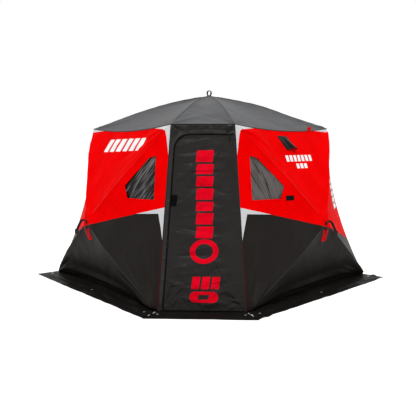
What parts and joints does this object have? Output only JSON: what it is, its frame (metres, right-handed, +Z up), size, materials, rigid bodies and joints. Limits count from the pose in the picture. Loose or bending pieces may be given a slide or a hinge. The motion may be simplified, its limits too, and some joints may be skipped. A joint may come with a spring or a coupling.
{
  "type": "ice fishing hut",
  "caption": "Pop-up ice fishing hut: red and black fabric walls and a grey roof stretched over hubs and bowed poles, with hinged fabric doors, windows and ground skirts.",
  "frame": {"origin": "centre of the footprint, skirts included, on the ground", "axes": "+Z up, -Y towards the front door, +X to the right of someone facing the front door"},
  "size_m": [3.9614, 3.66, 2.0826],
  "materials": {
    "red_fabric": "coated polyester, satin",
    "black_fabric": "coated polyester, matt",
    "grey_fabric": "coated polyester, satin",
    "silver_fabric": "reflective satin",
    "window_vinyl": "clear vinyl, dark behind",
    "fibreglass": "smooth rod",
    "black_plastic": "moulded",
    "zip_tape": "woven tape",
    "piping": "piping",
    "red_webbing": "woven tape",
    "webbing": "woven webbing",
    "vent_fabric": "coated polyester, matt",
    "velcro": "hook-and-loop",
    "grommet_metal": "plated"
  },
  "bodies": {
    "shelter": {"front_left_window_panel": "red_fabric", "front_right_window_panel": "red_fabric", "rear_left_window_panel": "red_fabric", "rear_right_window_panel": "red_fabric", "front_left_upper_panel": "red_fabric", "front_right_upper_panel": "red_fabric", "rear_left_upper_panel": "red_fabric", "rear_right_upper_panel": "red_fabric", "front_left_lower_panel": "black_fabric", "front_right_lower_panel": "black_fabric", "rear_left_lower_panel": "black_fabric", "rear_right_lower_panel": "black_fabric", "front_left_window": "window_vinyl", "front_right_window": "window_vinyl", "rear_left_window": "window_vinyl", "rear_right_window": "window_vinyl", "front_left_skirt": "black_fabric", "front_right_skirt": "black_fabric", "rear_left_skirt": "black_fabric", "rear_right_skirt": "black_fabric", "front_left_poles": "fibreglass", "front_right_poles": "fibreglass", "rear_left_poles": "fibreglass", "rear_right_poles": "fibreglass", "wall_hubs": "black_plastic", "roof_front": "grey_fabric", "roof_rear": "grey_fabric", "roof_front_left": "grey_fabric", "roof_front_right": "grey_fabric", "roof_rear_left": "grey_fabric", "roof_rear_right": "grey_fabric", "roof_poles": "fibreglass", "roof_hub": "black_plastic", "roof_loop": "webbing", "front_surround": "black_fabric", "front_zipper": "zip_tape", "front_skirt": "black_fabric", "rear_surround": "black_fabric", "rear_zipper": "zip_tape", "rear_skirt": "black_fabric", "reflective_accents": "silver_fabric", "seam_piping": "piping", "hub_pull_tabs": "red_webbing", "guy_straps": "webbing", "wall_vents": "vent_fabric", "velcro_patches": "velcro", "grommets": "grommet_metal"},
    "front_door": {"front_door": "black_fabric"},
    "rear_door": {"rear_door": "black_fabric"}
  },
  "joints": [
    {"name": "front_door_hinge", "type": "hinge", "parent": "shelter", "child": "front_door", "pos_m": [0.377, -1.605, 0.0043], "axis": [-0.0664, 0.1196, 0.9906], "range_deg": [0, 155]},
    {"name": "rear_door_hinge", "type": "hinge", "parent": "shelter", "child": "rear_door", "pos_m": [-0.377, 1.605, 0.0043], "axis": [0.0664, -0.1196, 0.9906], "range_deg": [0, 155]}
  ]
}
